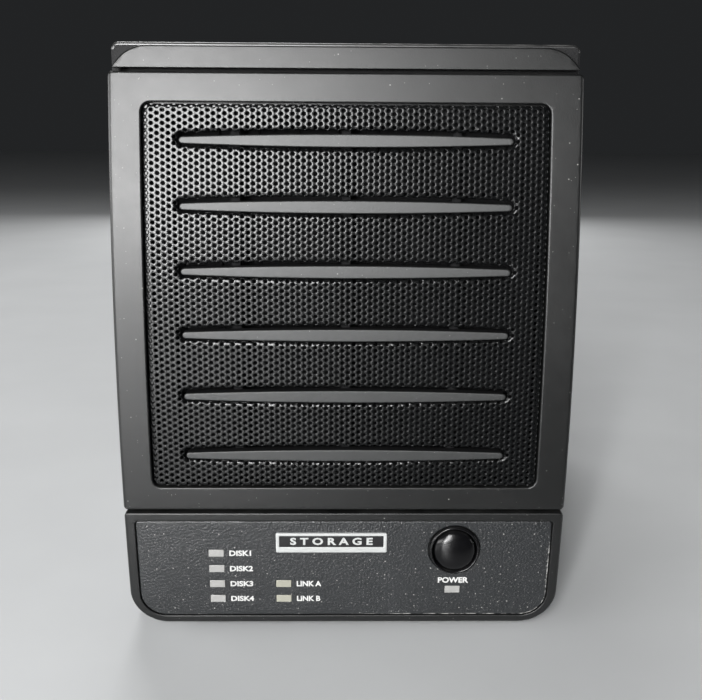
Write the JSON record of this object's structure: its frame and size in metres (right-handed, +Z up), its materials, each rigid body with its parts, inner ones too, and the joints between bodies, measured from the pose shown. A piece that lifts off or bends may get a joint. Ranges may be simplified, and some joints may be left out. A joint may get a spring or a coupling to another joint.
{
  "type": "network attached storage",
  "caption": "Desktop storage tower: steel casing, convex front door with a perforated sheet and slim fins, control section with status windows and a round power button.",
  "frame": {"origin": "bottom centre of the footprint, at the underside of the feet", "axes": "+Z up; the front faces -Y; +X to the right as seen from the front"},
  "size_m": [0.1302, 0.2149, 0.1705],
  "materials": {
    "black_abs": "satin, fine grain",
    "bright_metal": "polished",
    "cable_jacket": "PVC jacket",
    "charcoal_film": "fine leather-like grain",
    "circuit_board": "green solder mask",
    "dark_steel": "blackened",
    "drive_alloy": "cast, satin",
    "gloss_black": "gloss",
    "milky_window": "translucent milky",
    "painted_steel": "fine powder coat",
    "perforated_steel": "semi-gloss, perforated",
    "ribbon_grey": "PVC",
    "rubber": "matte",
    "warm_window": "translucent milky, warmer",
    "zinc_steel": "zinc plated"
  },
  "bodies": {
    "enclosure": {"backplane_board": "circuit_board", "casing_cover": "painted_steel", "chassis_base": "zinc_steel", "control_panel_overlay": "charcoal_film", "cover_screw_left": "dark_steel", "cover_screw_right": "dark_steel", "disk_light_1": "milky_window", "disk_light_2": "milky_window", "disk_light_3": "milky_window", "disk_light_4": "milky_window", "door_magnet": "zinc_steel", "drive_1": "drive_alloy", "drive_2": "drive_alloy", "drive_3": "drive_alloy", "drive_4": "drive_alloy", "drive_cage": "zinc_steel", "drive_connector_1": "gloss_black", "drive_connector_2": "gloss_black", "drive_connector_3": "gloss_black", "drive_connector_4": "gloss_black", "drive_tray_1": "black_abs", "drive_tray_2": "black_abs", "drive_tray_3": "black_abs", "drive_tray_4": "black_abs", "fan_frame": "gloss_black", "fan_guard": "bright_metal", "fan_screw_1": "dark_steel", "fan_screw_2": "dark_steel", "fan_screw_3": "dark_steel", "fan_screw_4": "dark_steel", "foot_front_left": "rubber", "foot_front_right": "rubber", "foot_rear_left": "rubber", "foot_rear_right": "rubber", "front_bezel": "black_abs", "front_circuit_board": "circuit_board", "hinge_pin_lower": "dark_steel", "hinge_pin_upper": "dark_steel", "host_port": "zinc_steel", "link_light_1": "warm_window", "link_light_2": "warm_window", "main_board": "circuit_board", "nameplate": "bright_metal", "panel_ribbon_cable": "ribbon_grey", "power_button_ring": "gloss_black", "power_cable": "cable_jacket", "power_inlet": "black_abs", "power_light": "milky_window", "power_supply": "zinc_steel", "power_switch": "black_abs", "rear_panel": "painted_steel", "rocker_frame": "black_abs", "storage_port": "zinc_steel"},
    "door": {"door_frame": "black_abs", "door_mesh": "perforated_steel", "door_fins": "black_abs", "door_strike": "zinc_steel"},
    "power_button": {"power_button": "gloss_black"},
    "fan_rotor": {"fan_rotor": "gloss_black"},
    "rocker_switch": {"rocker_switch": "black_abs"}
  },
  "joints": [
    {"name": "door_hinge", "type": "hinge", "parent": "enclosure", "child": "door", "pos_m": [-0.061, -0.0977, 0.10135], "axis": [0, 0, -1], "range_deg": [0, 95]},
    {"name": "power_button_press", "type": "slide", "parent": "enclosure", "child": "power_button", "axis": [0, 1, 0], "range_m": [0, 0.001], "stiffness_N_per_m": 1500},
    {"name": "fan_spin", "type": "hinge", "parent": "enclosure", "child": "fan_rotor", "pos_m": [0, 0.08945, 0.105], "axis": [0, 1, 0], "continuous": true},
    {"name": "rocker_tip", "type": "hinge", "parent": "enclosure", "child": "rocker_switch", "pos_m": [-0.01, 0.1019, 0.021], "axis": [1, 0, 0], "range_deg": [-7, 7]}
  ]
}
